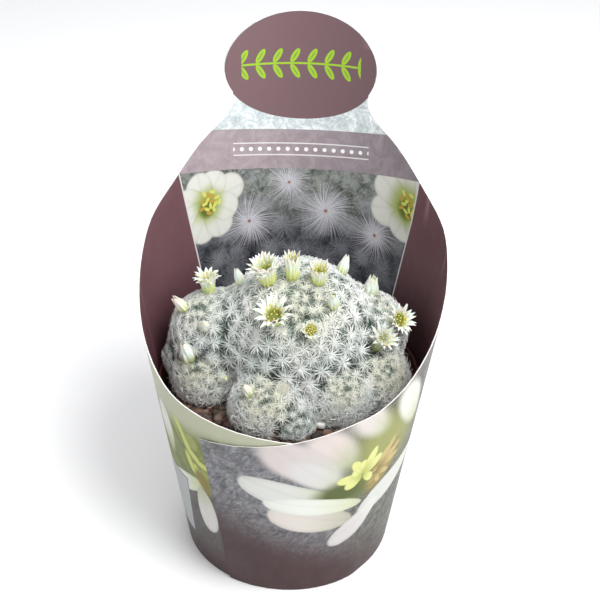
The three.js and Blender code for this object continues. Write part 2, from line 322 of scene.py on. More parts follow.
def setUpStudio():
    camera = bpy.data.cameras.new("camera")
    camera.lens = studio["lens"]
    camera.sensor_width = 36
    camera.shift_x = studio["shift"]
    camera.clip_start = 0.01
    eye = bpy.data.objects.new("camera", camera)
    bpy.context.collection.objects.link(eye)
    turn = Matrix.Rotation(math.radians(studio["azimuth"]), 4, "Z")
    tilt = Matrix.Rotation(math.radians(90 - studio["downTilt"]), 4, "X")
    roll = Matrix.Rotation(math.radians(-studio["roll"]), 4, "Z")
    stand = Matrix.Translation((0, -studio["distance"], studio["height"]))
    eye.matrix_world = turn @ stand @ tilt @ roll
    bpy.context.scene.camera = eye

    for name, place, size, power in studio["lamps"]:
        lamp = bpy.data.lights.new(name, "AREA")
        lamp.shape = "DISK"
        lamp.size = size
        lamp.energy = power
        holder = bpy.data.objects.new(name, lamp)
        bpy.context.collection.objects.link(holder)
        aim = Vector(studio["aim"]) - Vector(place)
        holder.location = place
        holder.rotation_euler = aim.to_track_quat("-Z", "Y").to_euler()

    world = bpy.data.worlds.new("studioAir")
    world.use_nodes = True
    sky = world.node_tree.nodes["Background"]
    sky.inputs["Color"].default_value = studio["skyColour"]
    sky.inputs["Strength"].default_value = studio["skyStrength"]
    bpy.context.scene.world = world
    bpy.context.scene.view_settings.view_transform = "Standard"

    deselectAll()
    bpy.ops.mesh.primitive_plane_add(size=8, location=(0, 0, studio["floorLevel"]))
    floor = justAdded("floor")
    material, tree, shader = newMaterial("paleFloor")
    coat(tree, shader, studio["floorColour"], 0.7)
    floor.data.materials.append(material)
    print("studio ready")


setUpStudio()


# stems: green bodies, tubercles and feathery spines

stemSizes = {
    # radius over the spines, where the growing tip points (bearing, elevation), areole spacing, share of
    # wool, and how much lower or smaller it is than its CAD solid; lengths in mm
    "stem_main": {"radius": 34, "tip": (12, 52), "spacing": 7.8, "wool": 0.6, "drop": 1.8},
    "stem_left_upper": {"radius": 18.3, "tip": (-30, 62), "spacing": 6.4, "wool": 0.5},
    "stem_right_back": {"radius": 17, "tip": (50, 66), "spacing": 6.2, "wool": 0.4},
    "stem_back_left": {"radius": 17, "tip": (-150, 60), "spacing": 6.2, "wool": 0.4},
    "stem_back_right": {"radius": 16, "tip": (155, 60), "spacing": 6.0, "wool": 0.4},
    "stem_front_left": {"radius": 16, "tip": (10, 52), "spacing": 5.8, "wool": 1.0, "trim": 0.8},
    "stem_left_low": {"radius": 15.2, "tip": (-20, 50), "spacing": 5.8, "wool": 1.0, "trim": 1.4},
    "stem_front_right": {"radius": 13.4, "tip": (25, 52), "spacing": 5.4, "wool": 0.8},
    "stem_right": {"radius": 14.5, "tip": (35, 48), "spacing": 5.6, "wool": 1.0},
    "stem_small_front": {"radius": 7.5, "tip": (10, 45), "spacing": 4.6, "wool": 0.2},
    "stem_far_left": {"radius": 7.5, "tip": (-80, 35), "spacing": 4.6, "wool": 0.3},
}

spines = {
    "rays": 52,
    "length": 6.3,  # of a full-size spine, mm
    "width": 0.44,
    "rise": 1.3,  # how high a spine arches over its areole
    "lengths": (0.78, 1.1),  # least and most share of the length, and so on
    "rises": (0.5, 1.3),
    "droops": (0.4, 1.5),
    "widths": (0.7, 1.15),
    "lifts": (6, 24),  # how steeply a spine leaves its areole, degrees
    "innerLength": 0.62,  # every third spine is shorter and stands up more
    "innerLift": 26,
    "erectLift": 30,
    "foot": 0.03,  # a spine starts this share of its length from the areole's middle
    "spread": 0.9,  # how much wider it is at its tip end before it tapers
    "kinds": {
        # how many different ones are made, how curly and how erect they are
        "star": (5, 0.0, 0.0),
        "curly": (3, 0.8, 0.15),
        "tuft": (2, 0.4, 0.6),
    },
    "sink": 2.4,  # the areoles lie this far inside the spines' outline
    "tubercle": 5.0,  # height of a full-size tubercle
    "tubercleWidth": 1.02,  # as a share of the gap between areoles
    "tubercleReach": 1.1,  # how far it goes on into the stem
    "fullSpacing": 7.8,
    "gravelGap": 0.6,  # the lowest areoles sit this far above the gravel's top
    "blend": 5.0,  # how softly neighbouring stems run together, mm
    "lowest": -0.8,  # cosine of the angle from the tip where the areoles end
    "youngReach": 50,  # degrees from the tip
    "youngSqueeze": 0.4,  # how much closer the areoles sit at the tip
    "cell": 0.866,  # area that one areole takes, as a share of its gap squared
    "shake": 0.05,
    "tuftFrom": 0.7,  # younger than this, an areole carries a tuft
    "woollyFrom": 0.7,  # stems with more wool than this have curly spines
    "curlySize": 1.15,
}

goldenTurn = math.radians(137.508)


def stemBall(name):
    # the round top's centre and radius: the box's outward sides touch the ball
    low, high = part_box(name)
    radius = stemSizes[name]["radius"] * mm
    centre = [0, 0, high[2] - radius]
    for axis in (0, 1):
        outward = low[axis] + high[axis] > 0
        centre[axis] = high[axis] - radius if outward else low[axis] + radius
    if name == "stem_main":
        centre[0] = (low[0] + high[0]) / 2
        centre[1] = (low[1] + high[1]) / 2
    # a few stems stay a little lower or smaller than their CAD solids
    centre[2] -= stemSizes[name].get("drop", 0) * mm
    return Vector(centre), radius - stemSizes[name].get("trim", 0) * mm


balls = {name: stemBall(name) for name in stemSizes}
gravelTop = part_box("gravel_topping")[1][2]


def clumpDepth(point, inset):
    # distance to the clump's outline, with the creases between the stems filled softly
    soft = spines["blend"] * mm
    total, slope, nearest = 0.0, Vector(), None
    for name, (centre, radius) in balls.items():
        away = point - centre
        distance = away.length - (radius - inset)
        weight = math.exp(-distance / soft)
        total += weight
        slope += weight * away.normalized()
        if nearest is None or distance < nearest[0]:
            nearest = (distance, name)
    return -soft * math.log(total), slope.normalized(), nearest[1]


def pushedOut(point, outward, inset):
    # moves a point of one ball out to the clump's soft outline
    for attempt in range(4):
        distance, slope, owner = clumpDepth(point, inset)
        point = point - outward * distance
    return point, slope, owner


def areolesOn(name):
    # a spiral of areoles from the growing tip down, closer together near the tip
    size = stemSizes[name]
    centre, radius = balls[name]
    inset = spines["sink"] * mm
    toTip = facing(heading(*size["tip"]))
    cosine = 1.0
    turn = 0.0
    found = []
    while cosine > spines["lowest"]:
        away = math.acos(max(-1, cosine))
        young = max(0.0, 1 - away / math.radians(spines["youngReach"]))
        gap = size["spacing"] * mm * (1 - spines["youngSqueeze"] * young)
        cosine -= gap * gap * spines["cell"] / (2 * math.pi * radius * radius)
        turn += goldenTurn
        away = math.acos(max(-1, cosine)) + spines["shake"] * rng.uniform(-1, 1)
        local = Vector((math.sin(away) * math.cos(turn), math.sin(away) * math.sin(turn), math.cos(away)))
        outward = (toTip @ local).normalized()
        seat, slope, owner = pushedOut(centre + outward * (radius - inset), outward, inset)
        if owner != name or seat.z < gravelTop + spines["gravelGap"] * mm:
            continue
        found.append({"seat": Matrix.Translation(seat) @ facing(slope), "gap": gap, "young": young})
    return found


def spikeMaster():
    # a closed three-sided spike along +X, 1 long, cut across so that it can bend
    deselectAll()
    bpy.ops.mesh.primitive_cone_add(vertices=3, radius1=0.5, radius2=0, depth=1)
    spike = justAdded("spike")
    spike.data.transform(Matrix.Rotation(math.radians(90), 4, "Y") @ Matrix.Translation((0, 0, 0.5)))
    for place in (0.3, 0.62):
        editMesh(spike, lambda: bpy.ops.mesh.bisect(plane_co=(place, 0, 0), plane_no=(1, 0, 0)))
    return spike


def spineRay(spike, length, width, rise, droop, bow):
    # the spike stretched, arched over and bowed aside
    ray = copyOf(spike, Matrix.Identity(4))
    for vertex in ray.data.vertices:
        along = vertex.co.x
        fuller = width * (1 + spines["spread"] * along)
        arch = rise * math.sin(math.pi * min(1, along * 0.95)) - droop * along * along
        side = vertex.co.y * fuller + bow * along * along
        vertex.co = (length * (spines["foot"] + along), side, vertex.co.z * fuller + arch)
    return ray


def spineStar(spike, name, curl, erect):
    # a whole areole's spines: a flat outer ring and a shorter raised one
    parts = []
    rays = spines["rays"]
    for i in range(rays):
        inner = i % 3 == 0
        shorter = spines["innerLength"] if inner else 1.0
        long = spines["length"] * mm * rng.uniform(*spines["lengths"]) * shorter
        rise = spines["rise"] * mm * rng.uniform(*spines["rises"]) * (1 + erect)
        droop = spines["rise"] * mm * rng.uniform(*spines["droops"]) * (1 - erect)
        bow = mm * rng.uniform(-1.0, 1.0) * (0.8 + 1.6 * curl)
        ray = spineRay(spike, long, spines["width"] * mm * rng.uniform(*spines["widths"]), rise, droop, bow)
        steep = rng.uniform(*spines["lifts"]) + spines["innerLift"] * inner + spines["erectLift"] * erect
        lift = math.radians(steep)
        spin = Matrix.Rotation(2 * math.pi * (i + rng.uniform(-0.4, 0.4)) / rays, 4, "Z")
        roll = Matrix.Rotation(rng.uniform(-0.9, 0.9) * (0.6 + curl), 4, "X")
        ray.data.transform(spin @ Matrix.Rotation(-lift, 4, "Y") @ roll)
        parts.append(ray)
    return joined(parts, name)


def tubercleCone():
    # a blunt cone, round-topped, that carries an areole
    deselectAll()
    bpy.ops.mesh.primitive_cone_add(vertices=7, radius1=0.5, radius2=0.3, depth=1, location=(0, 0, -0.5))
    cone = justAdded("tubercle")
    settle(cone)
    editTop(cone, lambda: bpy.ops.mesh.inset(thickness=0.13, depth=0.12))
    return cone


def spineMaterial():
    # pale, slightly glassy; cream on young growth and blue-grey white on old
    material, tree, shader = newMaterial("featherSpine")
    place = objectPlace(tree)
    fine = grain(tree, place, 420, 2.0)
    patch = grain(tree, place, 45, 2.0)
    old = tinted(tree, ramp(tree, patch, 0.35, 0.65), hue(238, 243, 240), hue(252, 253, 251))
    young = tinted(tree, ramp(tree, fine, 0.3, 0.7), hue(246, 245, 226), hue(253, 253, 242))
    share = ramp(tree, scaled(tree, patch, 0.3, attributeOf(tree, "age")), 0.2, 1.0)
    coat(tree, shader, tinted(tree, share, old, young), 0.5)
    shader.inputs["Subsurface Weight"].default_value = 0.35
    shader.inputs["Subsurface Scale"].default_value = 0.0012
    shader.inputs["Subsurface Radius"].default_value = (1, 1, 0.9)
    return material


def stemMaterial():
    # dull blue-green skin, with fine pale woolly flecks
    material, tree, shader = newMaterial("stemSkin")
    place = objectPlace(tree)
    broad = grain(tree, place, 90, 3.0)
    fine = grain(tree, place, 900, 3.0)
    skin = tinted(tree, ramp(tree, broad, 0.3, 0.7), hue(76, 98, 86), hue(118, 137, 122))
    wool = tinted(tree, ramp(tree, fine, 0.46, 0.72), skin, hue(190, 200, 188))
    coat(tree, shader, wool, 0.75)
    bumpFrom(tree, shader, fine, 0.0004, 0.5)
    return material


def buildStem(name, kinds, cone, skin, spineFinish):
    size = stemSizes[name]
    centre, radius = balls[name]
    areoles = areolesOn(name)
    share = size["spacing"] / spines["fullSpacing"]
    knob = spines["tubercle"] * mm * (0.35 + 0.65 * share)

    deselectAll()
    depth = spines["sink"] * mm + 0.8 * knob
    bpy.ops.mesh.primitive_uv_sphere_add(segments=32, ring_count=20, radius=radius - depth, location=centre)
    body = justAdded(name + "Body")
    settle(body)
    for vertex in body.data.vertices:
        outward = (vertex.co - centre).normalized()
        moved, slope, owner = pushedOut(vertex.co, outward, depth)
        if owner == name:
            vertex.co = moved
    parts = [body]
    for areole in areoles:
        wide, tall = spines["tubercleWidth"] * areole["gap"], knob * spines["tubercleReach"]
        parts.append(copyOf(cone, areole["seat"] @ Matrix.Diagonal((wide, wide, tall, 1))))
    body = joined(parts, name.replace("stem_", "body_"))
    smooth(body, 50)
    hand(body, name, skin)

    parts = []
    for areole in areoles:
        scale = areole["gap"] / (spines["fullSpacing"] * mm) * rng.uniform(0.98, 1.16)
        if areole["young"] > spines["tuftFrom"]:
            kind = kinds["tuft"]
        elif size["wool"] > spines["woollyFrom"]:
            kind = kinds["curly"]
            scale *= spines["curlySize"]
        else:
            kind = kinds["star"]
        spin = Matrix.Rotation(rng.uniform(0, 2 * math.pi), 4, "Z")
        star = copyOf(rng.choice(kind), areole["seat"] @ spin @ Matrix.Scale(scale, 4))
        cream = min(1.0, size["wool"] * (0.25 + 1.1 * areole["young"]))
        stain(star, "age", cream, cream, cream)
        parts.append(star)
    cover = joined(parts, name.replace("stem_", "spines_"))
    hand(cover, None, spineFinish)
    return len(areoles)


def buildClump():
    spike = spikeMaster()
    kinds = {}
    for name, (count, curl, erect) in spines["kinds"].items():
        kinds[name] = [spineStar(spike, name, curl, erect) for i in range(count)]
    cone = tubercleCone()
    skin, spineFinish = stemMaterial(), spineMaterial()
    total = 0
    for name in stemSizes:
        total += buildStem(name, kinds, cone, skin, spineFinish)
    for master in [*sum(kinds.values(), []), cone, spike]:
        discard(master)
    print("clump:", total, "areoles on", len(stemSizes), "stems")


# printed card sleeve: one sheet, mauve inside, with feathery rosettes and white flowers in print

card = {
    # heights and lengths of the print in mm, lengths from the middle of the back or front
    "ovalCentre": 205.7,
    "ovalHalfWidth": 36.4,
    "ovalHalfHeight": 25.0,
    "bandLow": 156.5,
    "bandHigh": 175.6,
    "bandLowRise": 7.0,  # how much higher the band's lower edge is this far out
    "bandLowReach": 63,
    "bandHighRise": 3.4,
    "bandHighReach": 42,
    "panelHalfWidth": 62.5,  # at panelLevel, and narrower below
    "panelLevel": 163.0,
    "panelTaper": 0.2,
    "footRadius": 50.5,
    "taper": 0.1233,
    "flapEnd": 207.5,  # degrees from the back, as the sheet runs
    "tuckedEnd": -219.0,
    "lapStep": 0.12,  # where the sheet laps, the flap stands out by more than this
    "lapSlack": 0.2,
    "slant": 5.0,  # the flap's end slants this many degrees more at 100 mm up
    "slantReach": 32,
    "lean": 0.045,  # the right side leans out more than a cone, round this height, up to the shoulder
    "leanLevel": 65,
    "leanTop": 150,
    "leanFade": 40,
    "cuts": 16,  # the card is cut across into this many bands
    "facing": 0.5,  # faces that look more across than this are printed, the rest are cut edge
    "mauve": hue(112, 80, 85),
    "paintedShadeMauve": hue(84, 55, 60),  # painted shade, low down behind the plant
    "headerMauve": hue(110, 85, 89),
    "lime": hue(150, 190, 40),
}


def streaks(tree, value, scale, detail=2.0, rough=0.6):
    # noise along one line
    return noiseNode(tree, "1D", "W", value, scale, detail, rough).outputs["Fac"]


def chance(tree, value):
    node = tree.nodes.new("ShaderNodeTexWhiteNoise")
    node.noise_dimensions = "1D"
    feed(tree, value, node.inputs["W"])
    return node.outputs["Value"]


def sheetPlace(tree, side):
    # where a point lies on the print: across from the middle and up, in mm
    s, z = attributeOf(tree, "across"), attributeOf(tree, "up")
    flat = tree.nodes.new("ShaderNodeUVMap")
    flat.uv_map = "sheet"
    if side:
        # seen from outside, the middle is the front: half a turn away
        half = side * math.pi
        halfTurn = scaled(tree, z, half * card["taper"], half * card["footRadius"])
        s = minus(tree, halfTurn, s)
    return {"s": s, "z": z, "flat": flat.outputs["UV"]}


def spot(tree, sheet, centre, angle, size):
    # the print seen from one spot: along and across it, as shares of its half-lengths
    turn = math.radians(angle)
    cos, sin = math.cos(turn), math.sin(turn)
    long, wide = size
    inner = scaled(tree, sheet["z"], sin / long, -(centre[0] * cos + centre[1] * sin) / long)
    u = scaled(tree, sheet["s"], cos / long, inner)
    outer = scaled(tree, sheet["z"], cos / wide, (centre[0] * sin - centre[1] * cos) / wide)
    v = scaled(tree, sheet["s"], -sin / wide, outer)
    return u, v


def span(tree, u, v):
    return calc(tree, "SQRT", scaled(tree, u, u, times(tree, v, v)))


def blot(tree, sheet, centre, angle, size, edge=0.12):
    # a soft-edged oval
    return ramp(tree, span(tree, *spot(tree, sheet, centre, angle, size)), 1.0, 1.0 - edge)


def petalPrint(tree, under, sheet, root, tip, width, rootColour, tipColour, edge=0.1, shade=0.75):
    # one printed petal, from its root to its tip, streaked along and darker at its rim
    along = Vector((tip[0] - root[0], tip[1] - root[1]))
    middle = ((root[0] + tip[0]) / 2, (root[1] + tip[1]) / 2)
    angle = math.degrees(math.atan2(along.y, along.x))
    u, v = spot(tree, sheet, middle, angle, (along.length / 2, width / 2))
    swell = times(tree, v, scaled(tree, u, -0.2, 1.12))
    reach = span(tree, u, swell)
    lines = streaks(tree, scaled(tree, u, 0.25, swell), 3.2, 3.0)
    mask = ramp(tree, scaled(tree, lines, 0.06, reach), 1.03, 1.03 - edge)
    colour = tinted(tree, ramp(tree, u, -0.85, 0.25), rootColour, tipColour)
    lit = scaled(tree, lines, 2 * (1 - shade), shade)
    lit = scaled(tree, ramp(tree, reach, 0.7, 1.0), -0.14, lit)
    return tinted(tree, mask, under, tinted(tree, lit, (0.0, 0.0, 0.0), colour))


def petalPrints(tree, under, sheet, petals, shade):
    for root, tip, width, rootColour, tipColour, edge in petals:
        under = petalPrint(tree, under, sheet, root, tip, width, rootColour, tipColour, edge, shade)
    return under


def featherStar(tree, under, sheet, centre, reach, colour, core, seed):
    # radial hairs round a small dark areole
    u, v = spot(tree, sheet, centre, 0, (reach, reach))
    dist = span(tree, u, v)
    angle = calc(tree, "ARCTAN2", v, u)
    wound = scaled(tree, angle, 3.2, scaled(tree, dist, 0.9, seed))
    hairs = streaks(tree, wound, 4.0, 3.0, 0.75)
    near = ramp(tree, dist, 1.0, 0.1)
    mask = ramp(tree, scaled(tree, near, 0.08, hairs), 0.5, 0.66)
    haired = tinted(tree, times(tree, mask, near), under, colour)
    return tinted(tree, ramp(tree, dist, 0.09, 0.03), haired, core)


def starField(tree, sheet, cell, seed):
    # a whole field of feathery rosettes, set out in shifted rows: how much hair shows at each point
    rowPlace = scaled(tree, sheet["z"], 1 / cell, 0.31 * seed)
    row = calc(tree, "FLOOR", rowPlace)
    shifted = scaled(tree, calc(tree, "FLOORED_MODULO", row, 2.0), 0.5, 0.17 * seed)
    linePlace = scaled(tree, sheet["s"], 1 / cell, shifted)
    line = calc(tree, "FLOOR", linePlace)
    key = scaled(tree, line, 17.13, scaled(tree, row, 5.71, seed))
    aside = scaled(tree, chance(tree, key), 0.45, 0.275)
    above = scaled(tree, chance(tree, calc(tree, "ADD", key, 91.0)), 0.45, 0.275)
    u = minus(tree, minus(tree, linePlace, line), aside)
    v = minus(tree, minus(tree, rowPlace, row), above)
    dist = span(tree, u, v)
    angle = calc(tree, "ARCTAN2", v, u)
    wound = scaled(tree, angle, 2.4, calc(tree, "ADD", key, dist))
    hairs = streaks(tree, wound, 3.6, 3.0, 0.75)
    return times(tree, ramp(tree, hairs, 0.42, 0.62), ramp(tree, dist, 0.66, 0.05))


def withStars(tree, under, sheet, fields, share, colour):
    # rosettes over the fur: size and seed of each field
    for cell, seed in fields:
        hair = times(tree, starField(tree, sheet, cell, seed), share)
        under = tinted(tree, hair, under, colour)
    return under


def furPrint(tree, sheet, dark, pale, size, seed):
    # out-of-focus fur: streaky tufts in all directions
    node = noiseNode(tree, "4D", "Vector", sheet["flat"], 1 / size, 6, 0.68)
    node.inputs["W"].default_value = seed
    node.inputs["Distortion"].default_value = 2.2
    return tinted(tree, ramp(tree, node.outputs["Fac"], 0.36, 0.68), dark, pale)


def between(tree, value, low, high, edge=0.35):
    # 1 from low to high, with a printed edge
    over = ramp(tree, minus(tree, value, low), -edge / 2, edge / 2)
    under = ramp(tree, minus(tree, high, value), -edge / 2, edge / 2)
    return times(tree, over, under)


def printedFlower(tree, under, sheet, centre, reach, lie, petals, threads, throat):
    # a white flower: its petals, green throat and yellow stamens
    for i in range(petals):
        angle = math.radians(lie + 360 * i / petals)
        long = reach * (1.0 + 0.12 * math.cos(2.3 * i))
        tip = (centre[0] + long * math.cos(angle), centre[1] + long * math.sin(angle))
        under = petalPrint(tree, under, sheet, centre, tip, 0.92 * reach,
                           hue(172, 182, 100), hue(216, 216, 208), 0.14, 0.76)
    glow = blot(tree, sheet, centre, 0, (throat * reach, 1.06 * throat * reach), 0.9)
    under = tinted(tree, glow, under, hue(140, 158, 66))
    deep = blot(tree, sheet, (centre[0] - 1, centre[1] - 2), 0, (0.3 * reach, 0.32 * reach), 0.6)
    under = tinted(tree, deep, under, hue(92, 106, 42))
    for i in range(threads):
        angle = 2.4 * i
        out = reach * 0.3 * math.sqrt((i + 0.5) / threads)
        bead = (centre[0] + 1.0 + out * math.cos(angle), centre[1] + 1.2 + out * math.sin(angle))
        colour = hue(208, 208, 104) if i % 3 else hue(186, 150, 66)
        under = tinted(tree, blot(tree, sheet, bead, 47 * i, (1.9, 0.95), 0.3), under, colour)
    return under


def bandEdges(tree, sheet):
    bent = times(tree, sheet["s"], sheet["s"])
    low = scaled(tree, bent, card["bandLowRise"] / card["bandLowReach"] ** 2, card["bandLow"])
    high = scaled(tree, bent, card["bandHighRise"] / card["bandHighReach"] ** 2, card["bandHigh"])
    return low, high


def panelPrint(tree, sheet):
    # the picture below the band: fur with rosettes, and a flower at each side
    shadow = ramp(tree, sheet["z"], 118.0, 150.0)
    low = furPrint(tree, sheet, hue(22, 22, 28), hue(82, 82, 92), 6.5, 4.0)
    high = furPrint(tree, sheet, hue(48, 54, 46), hue(142, 147, 138), 6.5, 9.0)
    fur = tinted(tree, shadow, low, high)
    fur = withStars(tree, fur, sheet, ((15.0, 3.0), (12.0, 41.0)), 0.55, hue(172, 175, 180))
    lilac, rust = hue(208, 206, 214), hue(140, 92, 64)
    stars = (((-5.9, 149.6), 15), ((11.9, 136.1), 19), ((-25.5, 131.4), 18), ((37.2, 129.0), 17))
    for k, (centre, reach) in enumerate(stars):
        fur = featherStar(tree, fur, sheet, centre, reach, lilac, rust, 2.0 + 5 * k)
        fur = featherStar(tree, fur, sheet, centre, 0.62 * reach, lilac, rust, 31.0 + 5 * k)
    fur = printedFlower(tree, fur, sheet, (-46.5, 144.0), 18.5, 28, 8, 16, 0.55)
    return printedFlower(tree, fur, sheet, (55.0, 149.0), 20.0, 205, 7, 16, 0.72)


def bandPrint(tree, sheet, low, high):
    # pale mauve, with a plain row of dots between two rules
    fur = furPrint(tree, sheet, hue(134, 122, 128), hue(180, 170, 175), 11.0, 23.0)
    # painted shade: the band is lighter on the left and darker on the right, as the light falls on it
    shade = tinted(tree, ramp(tree, sheet["s"], -45, 55), hue(168, 153, 157), hue(134, 125, 130))
    tone = tinted(tree, 0.6, fur, shade)
    off = minus(tree, sheet["z"], times(tree, calc(tree, "ADD", low, high), 0.5))
    step = minus(tree, calc(tree, "FLOORED_MODULO", sheet["s"], 4.4), 2.2)
    dots = ramp(tree, span(tree, step, off), 1.15, 0.8)
    rules = times(tree, between(tree, calc(tree, "ABSOLUTE", off), 2.6, 3.1), 0.8)
    ends = ramp(tree, calc(tree, "ABSOLUTE", sheet["s"]), 33.0, 32.6)
    ornament = times(tree, calc(tree, "MAXIMUM", dots, rules), ends)
    return tinted(tree, ornament, tone, hue(244, 242, 243))


def headerPrint(tree, sheet):
    # plain mauve oval with a row of leaves on a stalk
    # a faint painted shade: the oval is a little lighter on the left and darker on the right
    tone = tinted(tree, ramp(tree, sheet["s"], -40, 40), hue(115, 89, 93), card["headerMauve"])
    cell = 8.0
    row = minus(tree, calc(tree, "FLOORED_MODULO", sheet["s"], cell), cell / 2)
    up = minus(tree, sheet["z"], card["ovalCentre"] + 1.2)
    pair = {"s": row, "z": calc(tree, "ABSOLUTE", up)}
    leaf = blot(tree, pair, (0.9, 3.6), 58, (3.9, 1.55), 0.12)
    vein = blot(tree, pair, (0.9, 3.6), 58, (3.2, 0.22), 0.5)
    stalk = between(tree, up, -0.45, 0.45, 0.2)
    shape = calc(tree, "MAXIMUM", calc(tree, "SUBTRACT", leaf, vein, clamp=True), stalk)
    ends = ramp(tree, calc(tree, "ABSOLUTE", sheet["s"]), 28.2, 27.9)
    return tinted(tree, times(tree, shape, ends), tone, card["lime"])


def insidePrint(tree, sheet):
    # what the card shows behind the plant
    colour = furPrint(tree, sheet, hue(104, 73, 78), card["mauve"], 40.0, 50.0)
    # painted shade: the inside mauve darkens towards the bottom, behind the plant
    colour = tinted(tree, ramp(tree, sheet["z"], 88, 132), card["paintedShadeMauve"], colour)
    foot = card["panelHalfWidth"] - card["panelLevel"] * card["panelTaper"]
    reach = scaled(tree, sheet["z"], card["panelTaper"], foot)
    margin = minus(tree, reach, calc(tree, "ABSOLUTE", sheet["s"]))
    colour = tinted(tree, ramp(tree, margin, -0.2, 0.2), colour, panelPrint(tree, sheet))
    colour = tinted(tree, between(tree, margin, 0.0, 0.7), colour, hue(214, 210, 210))
    low, high = bandEdges(tree, sheet)
    pale = furPrint(tree, sheet, hue(184, 196, 198), hue(246, 249, 250), 5.0, 17.0)
    pale = withStars(tree, pale, sheet, ((10.0, 11.0),), 0.7, hue(150, 160, 162))
    colour = tinted(tree, between(tree, sheet["z"], high, 400.0), colour, pale)
    colour = tinted(tree, between(tree, sheet["z"], low, high), colour, bandPrint(tree, sheet, low, high))
    centre = (0.0, card["ovalCentre"])
    oval = blot(tree, sheet, centre, 0, (card["ovalHalfWidth"], card["ovalHalfHeight"]), 0.01)
    return tinted(tree, oval, colour, headerPrint(tree, sheet))


def mauveFoot(tree, sheet):
    return furPrint(tree, sheet, hue(56, 34, 36), hue(67, 44, 46), 30.0, 70.0)


def towardsBack(tree, sheet, colour):
    # the side and the back are plain, with a little fur under the mauve
    plain = furPrint(tree, sheet, hue(76, 56, 60), hue(100, 80, 85), 12.0, 81.0)
    return tinted(tree, ramp(tree, calc(tree, "ABSOLUTE", sheet["s"]), 88, 108), colour, plain)


def frontPrint(tree, sheet):
    # the flap: a big white flower over grey fur, mauve at the foot
    fur = furPrint(tree, sheet, hue(70, 70, 73), hue(134, 135, 138), 5.0, 2.0)
    fur = withStars(tree, fur, sheet, ((9.0, 5.0), (12.0, 61.0)), 0.3, hue(160, 160, 166))
    warm = furPrint(tree, sheet, hue(54, 54, 49), hue(118, 117, 108), 5.0, 7.0)
    fur = tinted(tree, ramp(tree, sheet["s"], 5, 50), fur, warm)
    slope = scaled(tree, sheet["s"], 0.42, sheet["z"])
    front = tinted(tree, ramp(tree, slope, 18, 52), mauveFoot(tree, sheet), fur)

    white, blush = hue(202, 203, 198), hue(198, 189, 187)
    green = blot(tree, sheet, (52, 80), 0, (32, 26), 0.75)
    front = tinted(tree, green, front, hue(140, 143, 78))
    far = (
        # root, tip, width, root colour, tip colour, softness
        ((36, 72), (10, 100), 30, hue(166, 172, 136), hue(205, 194, 189), 0.5),
        ((57, 86), (28, 107), 25, hue(176, 180, 146), hue(204, 198, 192), 0.6),
        ((76, 76), (62, 110), 24, hue(190, 194, 166), hue(216, 215, 206), 0.4),
        ((30, 67), (-12, 95), 26, hue(186, 188, 176), blush, 0.35),
        ((32, 60), (0, 84), 18, hue(182, 186, 164), hue(200, 198, 196), 0.5),
    )
    front = petalPrints(tree, front, sheet, far, 0.88)
    front = tinted(tree, blot(tree, sheet, (36, 62), 18, (22, 14), 0.9), front, hue(104, 114, 52))
    front = petalPrint(tree, front, sheet, (34, 51), (-20, 70), 17, hue(164, 172, 124), white, 0.08, 0.84)
    front = tinted(tree, blot(tree, sheet, (26, 59.5), 10, (18, 10), 0.7), front, hue(76, 86, 34))
    near = (
        ((33, 41.5), (-7, 51.5), 19, hue(176, 174, 158), hue(204, 198, 190), 0.1),
        ((38, 50), (-9, 58), 12, hue(196, 201, 172), hue(214, 216, 209), 0.08),
        ((84, 60), (34, 42), 15, hue(206, 210, 196), white, 0.1),
        ((52, 48), (20, 27), 13, hue(208, 210, 202), hue(196, 192, 191), 0.1),
    )
    front = petalPrints(tree, front, sheet, near, 0.84)

    u, v = spot(tree, sheet, (51, 65), 46, (17, 8))
    crossed = scaled(tree, u, 1.3, times(tree, v, 0.8))
    threads = streaks(tree, crossed, 6.0, 4.0, 0.85)
    gold = tinted(tree, ramp(tree, threads, 0.42, 0.6), hue(96, 84, 36), hue(186, 164, 92))
    frayed = scaled(tree, threads, 1.1, span(tree, u, v))
    front = tinted(tree, ramp(tree, frayed, 1.6, 1.2), front, gold)
    # the stamens: brown threads, then the style's pale lobes
    tips = ((60, 81), (64, 75), (63, 68), (56, 60), (49, 56), (55, 77))
    browns = [((47, 64), tip, 4.2, hue(128, 112, 56), hue(184, 166, 106), 0.3) for tip in tips]
    front = petalPrints(tree, front, sheet, browns, 0.7)
    tips = ((24, 66.5), (28, 61), (32.5, 77), (38.5, 76), (46.5, 81), (51, 74), (44, 62), (32, 71))
    lobes = [((37, 67), tip, 6.2, hue(172, 178, 94), hue(206, 209, 134), 0.2) for tip in tips]
    front = petalPrints(tree, front, sheet, lobes, 0.84)
    return towardsBack(tree, sheet, front)


